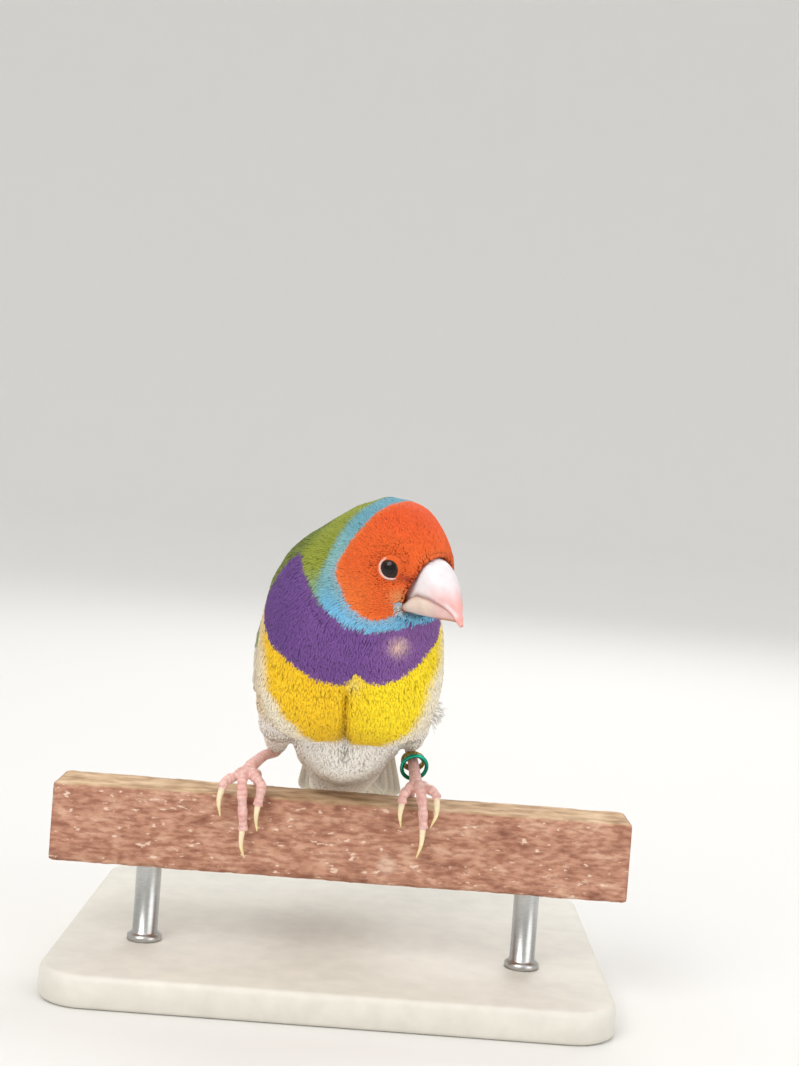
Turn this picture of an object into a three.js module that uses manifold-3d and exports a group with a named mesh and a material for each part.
// A life-size still model of a gouldian finch that grips a short cut length of sawn perch,
// held by a plain display stand. Millimetres, +Z up, the bird faces -Y.
import * as THREE from "three";
import { mergeVertices } from "three/addons/utils/BufferGeometryUtils.js";
import Module from "manifold-3d";

const wasm = await Module();
wasm.setup();

// Driving dimensions of the perch and the stand
const PERCH = { length: 108, depth: 13, height: 15, edge: 0.7 };
const BASE = { width: 104, depth: 86, height: 6, corner: 9, bevel: 0.8 };
const ROD = { radius: 2.4, spread: 36 };
const PERCH_TOP = 36;
const PERCH_FRONT = -24;
const GAP = 0.3;
const ROUND_GAP = 0.35;

// Driving dimensions of the bird. Its places are measured from the middle of the perch's top front edge.
const TAIL = {
  fan: 42,
  pins: 58,
  width: 6.6,
  pinWidth: 3,
  thick: 0.7,
  root: [0, 21, 15.5],
  droop: -36,
  rootHalf: 3.4,
  fanAngle: 1.4,
  roofAngle: 3,
  stackStep: 0.42,
};
const EYE = { radius: 3.0, left: 4.8, forward: 3.7, up: 0.1 };
const CLAW_RADIUS = 0.42;
const TOE_RADIUS = 0.85;
const TARSUS_RADIUS = 0.95;

// The head turns to the bird's left, nods down and tilts, about the middle of the skull.
const HEAD = { place: [7.4, -16.5, 47.3], turn: 42, nod: 19.5, tilt: 11.5 };

const rad = THREE.MathUtils.degToRad;
const vec = (p) => new THREE.Vector3(...p);
const headTurn = new THREE.Euler(rad(HEAD.nod), rad(-HEAD.tilt), rad(HEAD.turn), "ZXY");
const headMatrix = new THREE.Matrix4().compose(
  vec(HEAD.place),
  new THREE.Quaternion().setFromEuler(headTurn),
  new THREE.Vector3(1, 1, 1),
);
const toHead = headMatrix.clone().invert();

const MATERIALS = {
  mask: { color: 0xe2571f, roughness: 0.85, metalness: 0 },
  collar: { color: 0x74b3c4, roughness: 0.85, metalness: 0 },
  belly: { color: 0xf2bf14, roughness: 0.85, metalness: 0 },
  cream: { color: 0xe9e1cc, roughness: 0.85, metalness: 0 },
  wing: { color: 0xa9ad6a, roughness: 0.8, metalness: 0 },
  flight: { color: 0xd9d4c4, roughness: 0.75, metalness: 0 },
  tail: { color: 0xb5a999, roughness: 0.75, metalness: 0 },
  leg: { color: 0xd9a59b, roughness: 0.55, metalness: 0 },
  claw: { color: 0xe9cf9c, roughness: 0.4, metalness: 0 },
  bill: { color: 0xf0dcd6, roughness: 0.3, metalness: 0 },
  eye: { color: 0x0d0a0a, roughness: 0.05, metalness: 0 },
  greenMetal: { color: 0x0f8f72, roughness: 0.25, metalness: 1 },
  goldMetal: { color: 0x8f8440, roughness: 0.35, metalness: 1 },
  wood: { color: 0xa9725b, roughness: 0.8, metalness: 0 },
  stand: { color: 0xdedad2, roughness: 0.5, metalness: 0 },
  rod: { color: 0xc8c8c8, roughness: 0.3, metalness: 1 },
};

// Solids and booleans

function solidOf(geometry) {
  const plain = geometry.clone();
  plain.deleteAttribute("normal");
  plain.deleteAttribute("uv");
  const merged = mergeVertices(plain, 1e-4);
  const mesh = new wasm.Mesh({
    numProp: 3,
    vertProperties: Float32Array.from(merged.attributes.position.array),
    triVerts: Uint32Array.from(merged.index.array),
  });
  return new wasm.Manifold(mesh);
}

function geometryOf(solid) {
  const mesh = solid.getMesh();
  const stride = mesh.numProp;
  const positions = new Float32Array(mesh.numVert * 3);
  for (let i = 0; i < mesh.numVert; i++) {
    positions.set(mesh.vertProperties.subarray(i * stride, i * stride + 3), i * 3);
  }
  const geometry = new THREE.BufferGeometry();
  geometry.setAttribute("position", new THREE.BufferAttribute(positions, 3));
  geometry.setIndex(new THREE.BufferAttribute(Uint32Array.from(mesh.triVerts), 1));
  return geometry;
}

// A boolean can leave crumbs at a thin edge, so only the largest body is kept.
function largest(solid) {
  return solid.decompose().reduce((a, b) => (a.volume() > b.volume() ? a : b));
}

function cutAway(solid, ...others) {
  return largest(others.reduce((left, other) => left.subtract(other), solid));
}

// The half of space behind a plane, as a big box whose face lies on the plane.
function halfSpace(point, normal) {
  const reach = 200;
  const box = new THREE.BoxGeometry(reach, reach, reach);
  box.translate(0, 0, -reach / 2);
  const turn = new THREE.Quaternion().setFromUnitVectors(new THREE.Vector3(0, 0, 1), normal);
  box.applyQuaternion(turn);
  box.translate(point.x, point.y, point.z);
  return solidOf(box);
}

// Cuts a solid in two along a plane, with a thin gap, and gives [behind, ahead].
function parted(solid, point, normal) {
  const half = normal.clone().multiplyScalar(GAP / 2);
  const behind = solid.intersect(halfSpace(point.clone().sub(half), normal));
  const ahead = solid.subtract(halfSpace(point.clone().add(half), normal));
  return [largest(behind), largest(ahead)];
}

// Rounded body forms: each is a function that gives about how far a point is outside the form.

function ellipsoid(centre, semi, tip = 0) {
  const c = vec(centre);
  const turn = new THREE.Quaternion().setFromAxisAngle(new THREE.Vector3(1, 0, 0), rad(-tip));
  const q = new THREE.Vector3();
  return (p) => {
    q.copy(p).sub(c).applyQuaternion(turn);
    const near = Math.hypot(q.x / semi[0], q.y / semi[1], q.z / semi[2]);
    const slope = Math.hypot(q.x / semi[0] ** 2, q.y / semi[1] ** 2, q.z / semi[2] ** 2);
    return slope > 0 ? (near * (near - 1)) / slope : -Math.min(...semi);
  };
}

function limb(from, to, startRadius, endRadius) {
  const a = vec(from);
  const along = vec(to).sub(a);
  const q = new THREE.Vector3();
  return (p) => {
    q.copy(p).sub(a);
    const t = THREE.MathUtils.clamp(q.dot(along) / along.lengthSq(), 0, 1);
    return q.addScaledVector(along, -t).length() - THREE.MathUtils.lerp(startRadius, endRadius, t);
  };
}

function melt(softness, ...forms) {
  return (p) => {
    let d = forms[0](p);
    for (const form of forms.slice(1)) {
      const e = form(p);
      const h = Math.max(softness - Math.abs(d - e), 0) / softness;
      d = Math.min(d, e) - (h * h * softness) / 4;
    }
    return d;
  };
}

function inHead(form) {
  const q = new THREE.Vector3();
  return (p) => form(q.copy(p).applyMatrix4(toHead));
}

const grown = (form, by) => (p) => form(p) - by;

// Wraps a closed surface of even quads round a form, with one point in each cell that the surface crosses.
function skinOf(form, low, high, cell) {
  const n = low.map((value, i) => Math.ceil((high[i] - value) / cell) + 1);
  const index = (i, j, k) => (k * n[1] + j) * n[0] + i;
  const values = new Float64Array(n[0] * n[1] * n[2]);
  const p = new THREE.Vector3();
  const corner = (i, j, k) => p.set(low[0] + i * cell, low[1] + j * cell, low[2] + k * cell);
  const eachCell = (visit, from = 0, less = 0) => {
    for (let k = from; k < n[2] - less; k++) {
      for (let j = from; j < n[1] - less; j++) {
        for (let i = from; i < n[0] - less; i++) visit(i, j, k);
      }
    }
  };
  eachCell((i, j, k) => {
    values[index(i, j, k)] = form(corner(i, j, k));
  });
  const steps = [[1, 0, 0], [0, 1, 0], [0, 0, 1]];
  const pointOf = new Int32Array(values.length).fill(-1);
  const positions = [];
  const settle = (q) => {
    const e = 0.05;
    for (let turn = 0; turn < 3; turn++) {
      const d = form(q);
      const slope = new THREE.Vector3(
        form(p.copy(q).setX(q.x + e)) - d,
        form(p.copy(q).setY(q.y + e)) - d,
        form(p.copy(q).setZ(q.z + e)) - d,
      ).divideScalar(e);
      q.addScaledVector(slope, -d / Math.max(slope.lengthSq(), 0.2));
    }
  };
  eachCell((i, j, k) => {
    const sum = new THREE.Vector3();
    let crossings = 0;
    for (let axis = 0; axis < 3; axis++) {
      const s = steps[axis];
      const u = steps[(axis + 1) % 3];
      const v = steps[(axis + 2) % 3];
      for (let m = 0; m < 4; m++) {
        const c = [0, 1, 2].map((t) => [i, j, k][t] + u[t] * (m & 1) + v[t] * (m >> 1));
        const a = values[index(...c)];
        const b = values[index(c[0] + s[0], c[1] + s[1], c[2] + s[2])];
        if (a < 0 === b < 0) continue;
        const t = a / (a - b);
        sum.add(corner(c[0] + s[0] * t, c[1] + s[1] * t, c[2] + s[2] * t));
        crossings++;
      }
    }
    if (!crossings) return;
    sum.divideScalar(crossings);
    const kept = sum.clone();
    settle(sum);
    if (sum.distanceTo(kept) > cell * 0.6) sum.copy(kept);
    pointOf[index(i, j, k)] = positions.length / 3;
    positions.push(sum.x, sum.y, sum.z);
  }, 0, 1);
  const faces = [];
  eachCell((i, j, k) => {
    for (let axis = 0; axis < 3; axis++) {
      const s = steps[axis];
      const u = steps[(axis + 1) % 3];
      const v = steps[(axis + 2) % 3];
      const inside = values[index(i, j, k)] < 0;
      if (inside === values[index(i + s[0], j + s[1], k + s[2])] < 0) continue;
      const cellAt = (a, b) => {
        const cell = [i, j, k].map((value, t) => value - u[t] * a - v[t] * b);
        return pointOf[index(...cell)];
      };
      const ring = [cellAt(1, 1), cellAt(0, 1), cellAt(0, 0), cellAt(1, 0)];
      if (!inside) ring.reverse();
      faces.push(ring[0], ring[1], ring[2], ring[0], ring[2], ring[3]);
    }
  }, 1, 1);
  const geometry = new THREE.BufferGeometry();
  geometry.setAttribute("position", new THREE.Float32BufferAttribute(positions, 3));
  geometry.setIndex(faces);
  return geometry;
}

// A grid that meets the form in a way that leaves a doubled edge is shifted a little and tried again.
function skinSolid(form, low, high, cell) {
  for (let shift = 0; shift < 8; shift++) {
    const start = low.map((value) => value + shift * cell * 0.13);
    try {
      return solidOf(skinOf(form, start, high, cell));
    } catch (fault) {
      if (fault.code !== "NotManifold") throw fault;
    }
  }
  throw new Error("no grid gives this form a closed surface");
}

// A closed surface through rings of the same number of points, with a flat fan at each end.
function loft(rings) {
  const sides = rings[0].length;
  const positions = rings.flat().flatMap((q) => [q.x, q.y, q.z]);
  const faces = [];
  for (let r = 0; r + 1 < rings.length; r++) {
    for (let s = 0; s < sides; s++) {
      const a = r * sides + s;
      const b = r * sides + ((s + 1) % sides);
      faces.push(a, b, b + sides, a, b + sides, a + sides);
    }
  }
  for (const end of [0, rings.length - 1]) {
    const middle = rings[end].reduce((sum, q) => sum.add(q), new THREE.Vector3()).divideScalar(sides);
    const hub = positions.length / 3;
    positions.push(middle.x, middle.y, middle.z);
    for (let s = 0; s < sides; s++) {
      const a = end * sides + s;
      const b = end * sides + ((s + 1) % sides);
      faces.push(...(end === 0 ? [hub, b, a] : [hub, a, b]));
    }
  }
  const geometry = new THREE.BufferGeometry();
  geometry.setAttribute("position", new THREE.Float32BufferAttribute(positions, 3));
  geometry.setIndex(faces);
  return outwards(geometry);
}

function volumeOf(geometry) {
  const p = geometry.attributes.position;
  const [a, b, c] = [new THREE.Vector3(), new THREE.Vector3(), new THREE.Vector3()];
  let sum = 0;
  for (let i = 0; i < geometry.index.count; i += 3) {
    a.fromBufferAttribute(p, geometry.index.getX(i));
    b.fromBufferAttribute(p, geometry.index.getX(i + 1));
    c.fromBufferAttribute(p, geometry.index.getX(i + 2));
    sum += a.dot(b.cross(c)) / 6;
  }
  return sum;
}

function outwards(geometry) {
  if (volumeOf(geometry) > 0) return geometry;
  const index = geometry.index.array;
  for (let i = 0; i < index.length; i += 3) {
    [index[i + 1], index[i + 2]] = [index[i + 2], index[i + 1]];
  }
  return geometry;
}

// A bent round rod whose thickness follows a function of the way along it.
function stalk(points, radiusAt, sides = 8, steps = 8) {
  const curve = new THREE.CatmullRomCurve3(points.map(vec));
  const frames = curve.computeFrenetFrames(steps);
  const rings = [];
  for (let i = 0; i <= steps; i++) {
    const t = i / steps;
    const middle = curve.getPointAt(t);
    const radius = radiusAt(t);
    const ring = [];
    for (let s = 0; s < sides; s++) {
      const angle = (s / sides) * Math.PI * 2;
      const out = frames.normals[i].clone().multiplyScalar(Math.cos(angle) * radius);
      out.addScaledVector(frames.binormals[i], Math.sin(angle) * radius);
      ring.push(out.add(middle));
    }
    rings.push(ring);
  }
  return loft(rings);
}

// A value read off a few [place, value] pairs along a straight measure, eased between them.
function profile(pairs) {
  return (x) => {
    if (x <= pairs[0][0]) return pairs[0][1];
    for (let i = 1; i < pairs.length; i++) {
      const [x0, y0] = pairs[i - 1];
      const [x1, y1] = pairs[i];
      if (x <= x1) return THREE.MathUtils.lerp(y0, y1, (x - x0) / (x1 - x0));
    }
    return pairs.at(-1)[1];
  };
}

// The body under its feathers' outline, in five melted groups

const headForm = inHead(
  melt(
    3,
    ellipsoid([0, 1.2, 1.6], [7.8, 9.4, 8.3]),
    ellipsoid([0, 5.6, 0.4], [7.0, 6.6, 6.8]),
    ellipsoid([0, -5.2, 0.4], [5.9, 5.6, 5.4]),
    ellipsoid([4.3, -0.4, -3.6], [5.6, 6.8, 5.8]),
    ellipsoid([-4.3, -0.4, -3.6], [5.6, 6.8, 5.8]),
    ellipsoid([0, -2.2, -5.8], [4.6, 5.6, 3.6]),
  ),
);

const neckForm = melt(
  5,
  ellipsoid([-1.5, -6.5, 41], [13.5, 12.0, 10.6]),
  ellipsoid([0.2, -10.5, 47.0], [7.4, 8.4, 7.2]),
  limb([5, -12.5, 43.5], [0.5, -8, 36], 9.5, 13),
);

const trunkForm = melt(
  6,
  ellipsoid([-0.5, -6.5, 31], [16.8, 16.6, 15.5], -20),
  ellipsoid([-0.3, 4, 24.5], [15.0, 21, 13.6], -38),
  ellipsoid([0, 18, 15.5], [10, 17, 9.5], -38),
);

const bellyForm = melt(
  1.2,
  ellipsoid([6.2, -9.5, 22.5], [9.8, 10.2, 10.2], -20),
  ellipsoid([-6.8, -9.5, 22.5], [9.8, 10.2, 10.2], -20),
);

const ventForm = melt(
  3,
  limb([-0.6, 4, 11.5], [-1.2, 19.5, 4.9], 8.2, 6.2),
  limb([-1.2, 19.5, 4.9], [-1.8, 29, -2.2], 6.2, 5.5),
  limb([-1.8, 29, -2.2], [-0.4, 43, -5.4], 5.5, 1.7),
  limb([3.6, 10, 9], [1.8, 24, 2.5], 4.8, 3.8),
  limb([-4.6, 10, 9], [-3.0, 24, 2.5], 4.8, 3.8),
);

const bodyForm = melt(4, trunkForm, bellyForm, neckForm, headForm, ventForm);

const THIGH_CELL = 2.65;
const THIGH_BOX = { side: 9, front: -12, back: 20, low: 3, high: 32 };
const THIGH = {
  right: { hip: [-12.6, -1, 19], heel: [-13.8, 11.5, 8.4], top: 4.6, bottom: 2.1 },
  left: { hip: [11.6, -1, 20], heel: [11.8, 12.2, 10.4], top: 4.4, bottom: 2.1 },
};

// Trunk, neck and head are one form, parted where the collar and the breast begin.
const BODY_BOX = [[-24, -36, -14], [24, 48, 64]];
const HEAD_BOX = [[-11, -37, 28], [27, 4, 64]];
const TRUNK_CELL = 4.2;
const HEAD_CELL = 2.5;

const headBounds = inHead(ellipsoid([0, -2.6, 0.6], [12, 12.4, 10.4]));
const headOnly = (p) => Math.max(bodyForm(p), headBounds(p));
const headSocket = skinSolid(grown(headBounds, GAP), ...HEAD_BOX, HEAD_CELL);
const headWhole = skinSolid(headOnly, ...HEAD_BOX, HEAD_CELL);
const bodySolid = skinSolid(bodyForm, ...BODY_BOX, TRUNK_CELL);
const bodyClear = skinSolid(grown(bodyForm, ROUND_GAP), ...BODY_BOX, TRUNK_CELL);

const neckWay = new THREE.Vector3(0.15, -0.35, 0.92).normalize();
const neckCut = new THREE.Vector3(1, -9.5, 39.5);
const [trunkWhole, neck] = parted(cutAway(bodySolid, headSocket), neckCut, neckWay);

// The bill, in the head's own axes: forward is -Y there. Heights follow the forward reach.

const BILL_ROOT = 6.2;
const BILL_TIP = 17.9;
const culmen = profile([
  [5.6, 4.3], [9.1, 3.6], [11, 3.1], [13, 1.8],
  [14.6, 0.3], [16, -1.5], [17.1, -3.3], [17.9, -5.0],
]);
const mouthLine = profile([
  [5.6, -5.2], [7.6, -5.0], [9, -3.9], [10.6, -2.8],
  [13.4, -2.4], [15.6, -3.0], [17.1, -4.3], [17.9, -5.4],
]);
const gonys = profile([[5.6, -8.0], [9, -7.5], [13, -6.3], [15.4, -5.5], [17, -4.9]]);
const upperHalf = profile([
  [5.6, 4.5], [8.5, 4.2], [11, 3.6], [13.5, 2.7],
  [15.5, 1.7], [17, 0.9], [17.9, 0.3],
]);
const lowerHalf = profile([
  [5.6, 4.7], [8.5, 4.4], [11, 3.6],
  [13.5, 2.5], [15.4, 1.4], [17, 0.5],
]);

function billRings(reach, steps, halfAt, lowAt, highAt, roundTop) {
  const sides = 8;
  const rings = [];
  for (let i = 0; i <= steps; i++) {
    const forward = THREE.MathUtils.lerp(BILL_ROOT, reach, i / steps);
    const [half, low, high] = [halfAt(forward), lowAt(forward), highAt(forward)];
    const ring = [];
    for (let s = 0; s <= sides; s++) {
      const angle = (s / sides) * Math.PI;
      const rise = Math.sin(angle) ** 0.8;
      const z = roundTop ? low + (high - low) * rise : high - (high - low) * rise;
      ring.push(new THREE.Vector3(half * Math.cos(angle), -forward, z));
    }
    rings.push(ring);
  }
  return rings;
}

function bill(grow) {
  const mouthGap = GAP / 2;
  const upper = billRings(
    BILL_TIP,
    9,
    (f) => upperHalf(f) + grow,
    (f) => mouthLine(f) + mouthGap - grow,
    (f) => culmen(f) + grow,
    true,
  );
  const lower = billRings(
    BILL_TIP - 0.9,
    7,
    (f) => lowerHalf(f) + grow,
    (f) => gonys(f) - grow,
    (f) => mouthLine(f) - mouthGap + grow,
    false,
  );
  return [upper, lower].map((rings) => solidOf(loft(rings).applyMatrix4(headMatrix)));
}

const billClear = bill(GAP);

// Eyes: glass-smooth balls that stand a little proud of the cheek, one each side

const SIDES = { right: -1, left: 1 };

function eye(side, grow) {
  const ball = new THREE.SphereGeometry(EYE.radius + grow, 12, 8);
  ball.translate(EYE.left * side, -EYE.forward, EYE.up);
  ball.applyMatrix4(headMatrix);
  return solidOf(ball);
}

const eyeClear = Object.values(SIDES).map((side) => eye(side, GAP));
const [billUpper, billLower] = bill(0).map((solid) => cutAway(solid, ...eyeClear));
const head = cutAway(headWhole, ...billClear, ...eyeClear);

// Legs: the feathered thigh, the bare tarsus, four toes and four long claws

const FEET = {
  right: {
    heel: [-13.8, 12.5, 6.8],
    knuckle: [-17.9, 3.0, 5.0],
    toes: {
      inner: [[-16.9, 0.6, 3.7], [-15.3, -1.2, 2.3], [-15.7, -1.5, -1.4]],
      middle: [[-18.9, 0.2, 3.6], [-18.7, -1.6, 0.6], [-18.0, -1.5, -6.2]],
      outer: [[-20.2, 1.0, 3.4], [-22.0, -0.6, 2.6], [-22.5, -1.3, 1.4]],
      hind: [[-17.8, 7.5, 2.6], [-17.4, 13.2, 1.6], [-17.2, 14.6, -3.0]],
    },
    claws: {
      inner: [[-15.8, -1.9, -3.6], [-15.5, -1.2, -6.2]],
      middle: [[-18.2, -2.0, -8.8], [-17.5, -1.1, -11.4]],
      outer: [[-22.9, -1.9, -1.0], [-22.5, -1.1, -4.0]],
      hind: [[-17.2, 14.9, -6.0], [-17.1, 14.0, -9.2]],
    },
  },
  left: {
    heel: [11.8, 13.5, 9.2],
    knuckle: [13.3, 2.9, 4.2],
    toes: {
      inner: [[12.2, 0.8, 3.6], [11.1, -0.9, 2.5], [10.9, -1.4, 1.0]],
      middle: [[13.9, 0.3, 3.7], [14.7, -1.5, 1.2], [15.2, -1.5, -3.4]],
      outer: [[15.0, 1.0, 3.9], [16.6, -0.5, 3.4], [17.4, -1.3, 2.4]],
      hind: [[13.0, 7.5, 2.6], [12.8, 13.2, 1.6], [12.7, 14.6, -3.0]],
    },
    claws: {
      inner: [[10.7, -1.9, -1.0], [11.0, -1.1, -3.4]],
      middle: [[15.0, -2.0, -6.2], [14.3, -1.1, -9.0]],
      outer: [[17.4, -1.9, -0.4], [16.5, -1.1, -3.2]],
      hind: [[12.7, 14.9, -6.0], [12.6, 14.0, -9.2]],
    },
  },
};

function perchBlock(grow) {
  const size = [PERCH.length, PERCH.depth, PERCH.height].map((side) => side + grow * 2);
  const box = new THREE.BoxGeometry(...size);
  box.translate(0, PERCH.depth / 2, -PERCH.height / 2);
  return solidOf(box);
}

function thigh(side, grow) {
  const { hip, heel, top, bottom } = THIGH[side];
  const shank = limb(hip, heel, top + grow, bottom + grow);
  const muscle = ellipsoid(hip, [top + grow, 6 + grow, 7 + grow], 20);
  const low = [hip[0] - THIGH_BOX.side, THIGH_BOX.front, THIGH_BOX.low];
  const high = [hip[0] + THIGH_BOX.side, THIGH_BOX.back, THIGH_BOX.high];
  return skinSolid(melt(2, shank, muscle), low, high, THIGH_CELL);
}

function tarsus(side) {
  const { heel, knuckle } = FEET[side];
  const bulge = (t) => TARSUS_RADIUS * (1.25 - 0.9 * t * (1 - t));
  const middle = vec(heel).lerp(vec(knuckle), 0.5);
  middle.z += 0.5;
  return solidOf(stalk([heel, middle.toArray(), knuckle], bulge, 7, 4));
}

function foot(side, grow = 0) {
  const { knuckle, toes } = FEET[side];
  const pads = (t) => TOE_RADIUS * (1.12 - 0.22 * t + 0.08 * Math.cos(t * Math.PI * 5)) + grow;
  const ball = new THREE.SphereGeometry(TARSUS_RADIUS * 1.35 + grow, 8, 6);
  ball.translate(...knuckle);
  const parts = Object.values(toes).map((way) => solidOf(stalk([knuckle, ...way], pads, 6, 5)));
  return parts.reduce((whole, part) => whole.add(part), solidOf(ball));
}

function claw(side, toe) {
  const root = vec(FEET[side].toes[toe].at(-1));
  const [middle, tip] = FEET[side].claws[toe];
  const before = root.clone().lerp(vec(FEET[side].toes[toe].at(-2)), 0.12);
  const sharpen = (t) => CLAW_RADIUS * (1.3 - 1.05 * t);
  return solidOf(stalk([before.toArray(), middle, tip], sharpen, 5, 3));
}

const TOES = ["inner", "middle", "outer", "hind"];
const perchClear = perchBlock(GAP);

// Wings: folded blades that lie over the flank and follow the body, split at the ends of the coverts

const WING_AXIS = { front: [0, -11, 33], back: [0, 41, 3.5] };
const WING_LIFT = 0.55;
const WING_EDGE = 0.55;
const WING_STEPS = 10;
const WING_ACROSS = 4;
const COVERT_SHARE = 0.36;
const wingLow = profile([[0, 96], [0.12, 114], [0.35, 116], [0.6, 100], [0.8, 74], [1, 34]]);
const wingHigh = profile([[0, 70], [0.12, 48], [0.35, 24], [0.6, 13], [0.8, 12], [1, 14]]);
const wingThick = profile([[0, 0.4], [0.15, 1.3], [0.5, 1.3], [0.8, 0.9], [1, 0.3]]);
const backForm = melt(4, bodyForm, limb([0, 22, 14.5], [0, 46, -1], 8.5, 2.6));

// Where a line out from the wing's axis leaves the back, and which way the back faces there.
function backAt(side, u, degrees) {
  const axis = vec(WING_AXIS.front).lerp(vec(WING_AXIS.back), u);
  const along = vec(WING_AXIS.back).sub(vec(WING_AXIS.front)).normalize();
  const out = new THREE.Vector3(0, -along.z, along.y).multiplyScalar(Math.cos(rad(degrees)));
  out.x += side * Math.sin(rad(degrees));
  let [near, far] = [0, 40];
  for (let i = 0; i < 24; i++) {
    const middle = (near + far) / 2;
    if (backForm(axis.clone().addScaledVector(out, middle)) < 0) near = middle;
    else far = middle;
  }
  const spot = axis.addScaledVector(out, near);
  const e = 0.5;
  const slope = [[e, 0, 0], [0, e, 0], [0, 0, e]].map((step) => {
    const [ahead, behind] = [spot.clone().add(vec(step)), spot.clone().sub(vec(step))];
    return backForm(ahead) - backForm(behind);
  });
  return { spot, facing: vec(slope).normalize() };
}

function wing(side) {
  const rings = [];
  for (let i = 0; i <= WING_STEPS; i++) {
    const u = i / WING_STEPS;
    const [inner, outer] = [[], []];
    for (let j = 0; j <= WING_ACROSS; j++) {
      const v = j / WING_ACROSS;
      const { spot, facing } = backAt(side, u, THREE.MathUtils.lerp(wingLow(u), wingHigh(u), v));
      const thick = WING_EDGE + wingThick(u) * Math.sin(v * Math.PI) ** 0.6;
      inner.push(spot.clone().addScaledVector(facing, WING_LIFT));
      outer.unshift(spot.clone().addScaledVector(facing, WING_LIFT + thick));
    }
    rings.push([...inner, ...outer]);
  }
  return solidOf(loft(rings));
}

// Tail: twelve thin overlapping feathers, the middle pair drawn out into pins

function tailFeather(pair, side) {
  const outermost = 5;
  const isPin = pair === 0;
  const reach = isPin ? TAIL.pins : TAIL.fan - (pair - 1) * 0.9;
  const half = (isPin ? TAIL.pinWidth : TAIL.width) / 2;
  const shoulder = half * (isPin ? 0.35 : 0.9);
  const shape = new THREE.Shape();
  shape.moveTo(-half * 0.35, 0);
  shape.lineTo(-half, reach * 0.45);
  shape.lineTo(-shoulder, reach * 0.84);
  shape.quadraticCurveTo(-half * 0.4, reach, 0, reach);
  shape.quadraticCurveTo(half * 0.4, reach, shoulder, reach * 0.84);
  shape.lineTo(half, reach * 0.45);
  shape.lineTo(half * 0.35, 0);
  const blade = new THREE.ExtrudeGeometry(shape, {
    depth: TAIL.thick,
    bevelEnabled: false,
    curveSegments: 2,
  });
  const spread = isPin ? 1.0 : TAIL.fanAngle * pair;
  blade.translate(0, 0, -TAIL.thick / 2);
  blade.rotateY(rad(side * (4 + pair * TAIL.roofAngle)));
  blade.rotateZ(rad(-side * spread));
  const aside = 0.5 + (pair * TAIL.rootHalf) / outermost;
  blade.translate(side * aside, 0, 1.2 - pair * TAIL.stackStep);
  blade.rotateX(rad(TAIL.droop));
  blade.translate(...TAIL.root);
  return solidOf(blade);
}

function tail() {
  const feathers = [];
  for (let pair = 0; pair <= 5; pair++) {
    feathers.push(tailFeather(pair, 1), tailFeather(pair, -1));
  }
  return feathers.reduce((whole, feather) => whole.add(feather));
}

// Leg rings: a green one low on the left leg and a gold one behind it, both plain

const LEG_RINGS = {
  green: { reach: 0.32, lift: 0.75, radius: 2.4, tube: 0.38, lean: [-7, -6], finish: "greenMetal" },
  gold: { reach: 0.52, lift: 0.55, radius: 2.0, tube: 0.42, lean: [12, 8], finish: "goldMetal" },
};

function legRing({ reach, lift, radius, tube, lean }) {
  const { heel, knuckle } = FEET.left;
  const along = vec(heel).sub(vec(knuckle)).normalize();
  const centre = vec(knuckle).lerp(vec(heel), reach);
  const ring = new THREE.TorusGeometry(radius, tube, 5, 13);
  ring.rotateX(rad(lean[0]));
  ring.rotateY(rad(lean[1]));
  ring.applyQuaternion(new THREE.Quaternion().setFromUnitVectors(new THREE.Vector3(0, 0, 1), along));
  ring.translate(centre.x, centre.y, centre.z + lift);
  return solidOf(ring);
}

// Putting the bird together

const bird = new THREE.Group();
bird.position.set(0, PERCH_FRONT, PERCH_TOP);

function place(group, name, solid, finish) {
  const mesh = new THREE.Mesh(geometryOf(solid), new THREE.MeshStandardMaterial(MATERIALS[finish]));
  mesh.name = name;
  group.add(mesh);
}

const tailWhole = tail();
const tailClear = skinSolid(grown(ventForm, GAP), ...BODY_BOX, TRUNK_CELL);
const tailSolid = cutAway(tailWhole, bodyClear, tailClear, perchClear);
const trunk = cutAway(trunkWhole, perchClear);

place(bird, "head", head, "mask");
place(bird, "neck", neck, "collar");
place(bird, "trunk", trunk, "belly");
place(bird, "tail", tailSolid, "tail");
place(bird, "bill_upper", billUpper, "bill");
place(bird, "bill_lower", billLower, "bill");

for (const [side, sign] of Object.entries(SIDES)) {
  place(bird, "eye_" + side, eye(sign, 0), "eye");

  const wingWhole = cutAway(wing(sign), bodyClear, tailWhole, thigh(side, GAP * 2));
  const along = vec(WING_AXIS.back).sub(vec(WING_AXIS.front)).normalize();
  const split = vec(WING_AXIS.front).lerp(vec(WING_AXIS.back), COVERT_SHARE);
  const [coverts, flight] = parted(wingWhole, split, along);
  place(bird, "wing_coverts_" + side, coverts, "wing");
  place(bird, "wing_feathers_" + side, flight, "flight");

  place(bird, "thigh_" + side, cutAway(thigh(side, 0), bodyClear), "cream");
  place(bird, "foot_" + side, cutAway(foot(side), perchClear), "leg");
  const footClear = foot(side, GAP);
  place(bird, "tarsus_" + side, cutAway(tarsus(side), thigh(side, GAP * 2), footClear), "leg");
  for (const toe of TOES) {
    const name = "claw_" + toe + "_" + side;
    place(bird, name, cutAway(claw(side, toe), footClear, perchClear), "claw");
  }
}

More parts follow.
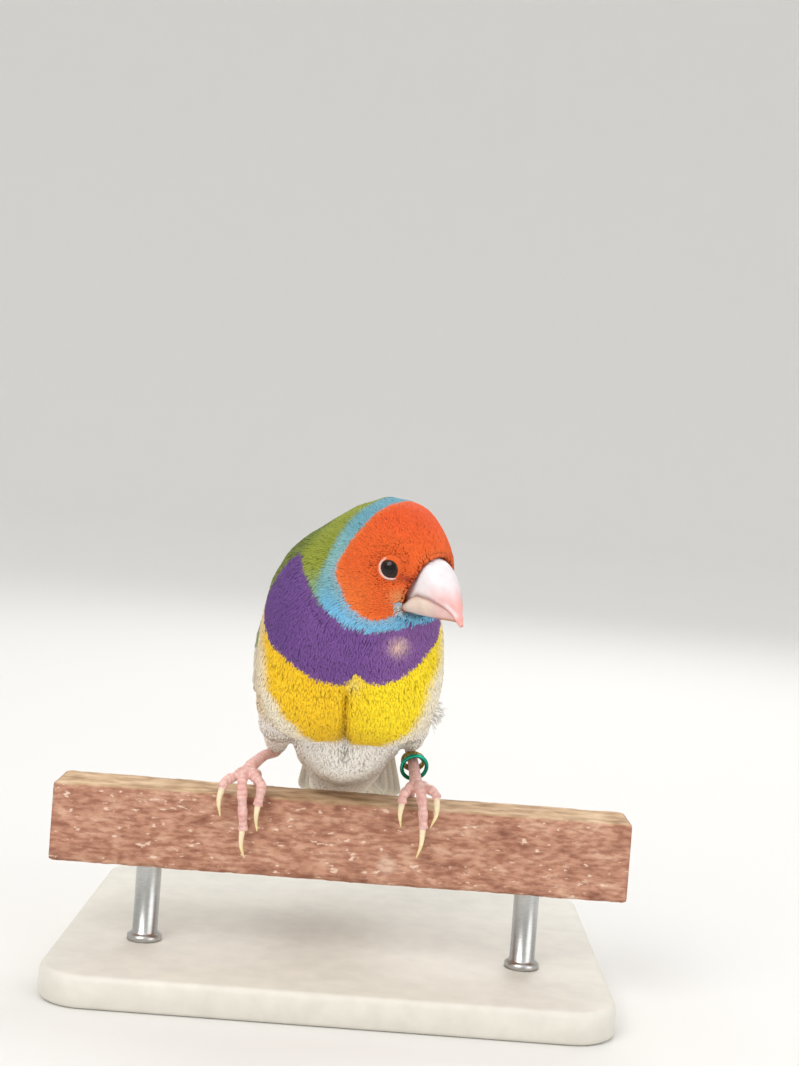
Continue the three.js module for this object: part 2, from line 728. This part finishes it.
for (const [name, ring] of Object.entries(LEG_RINGS)) {
  place(bird, "ring_" + name, legRing(ring), ring.finish);
}

// Perch and stand

const part = new THREE.Group();
part.add(bird);

function boxShape(width, depth, corner) {
  const [x, y] = [width / 2, depth / 2];
  const shape = new THREE.Shape();
  shape.moveTo(-x + corner, -y);
  shape.lineTo(x - corner, -y);
  shape.absarc(x - corner, -y + corner, corner, -Math.PI / 2, 0);
  shape.lineTo(x, y - corner);
  shape.absarc(x - corner, y - corner, corner, 0, Math.PI / 2);
  shape.lineTo(-x + corner, y);
  shape.absarc(-x + corner, y - corner, corner, Math.PI / 2, Math.PI);
  shape.lineTo(-x, -y + corner);
  shape.absarc(-x + corner, -y + corner, corner, Math.PI, Math.PI * 1.5);
  return shape;
}

const barShape = boxShape(PERCH.depth, PERCH.height, PERCH.edge);
const bar = new THREE.ExtrudeGeometry(barShape, {
  depth: PERCH.length,
  bevelEnabled: false,
  curveSegments: 3,
});
bar.translate(0, 0, -PERCH.length / 2);
bar.rotateX(Math.PI / 2);
bar.rotateZ(Math.PI / 2);
bar.translate(0, PERCH_FRONT + PERCH.depth / 2, PERCH_TOP - PERCH.height / 2);
place(part, "perch", solidOf(bar), "wood");

const plateShape = boxShape(BASE.width - BASE.bevel * 2, BASE.depth - BASE.bevel * 2, BASE.corner);
const plate = new THREE.ExtrudeGeometry(plateShape, {
  depth: BASE.height - BASE.bevel * 2,
  bevelThickness: BASE.bevel,
  bevelSize: BASE.bevel,
  bevelSegments: 1,
  curveSegments: 3,
});
plate.translate(0, 0, BASE.bevel);
place(part, "stand_base", solidOf(plate), "stand");

const rodHeight = PERCH_TOP - PERCH.height - BASE.height;
for (const [side, sign] of Object.entries(SIDES)) {
  const rod = new THREE.CylinderGeometry(ROD.radius, ROD.radius, rodHeight, 20);
  rod.rotateX(Math.PI / 2);
  rod.translate(ROD.spread * sign, PERCH_FRONT + PERCH.depth / 2, BASE.height + rodHeight / 2);
  place(part, "stand_rod_" + side, solidOf(rod), "rod");
}

export default part;
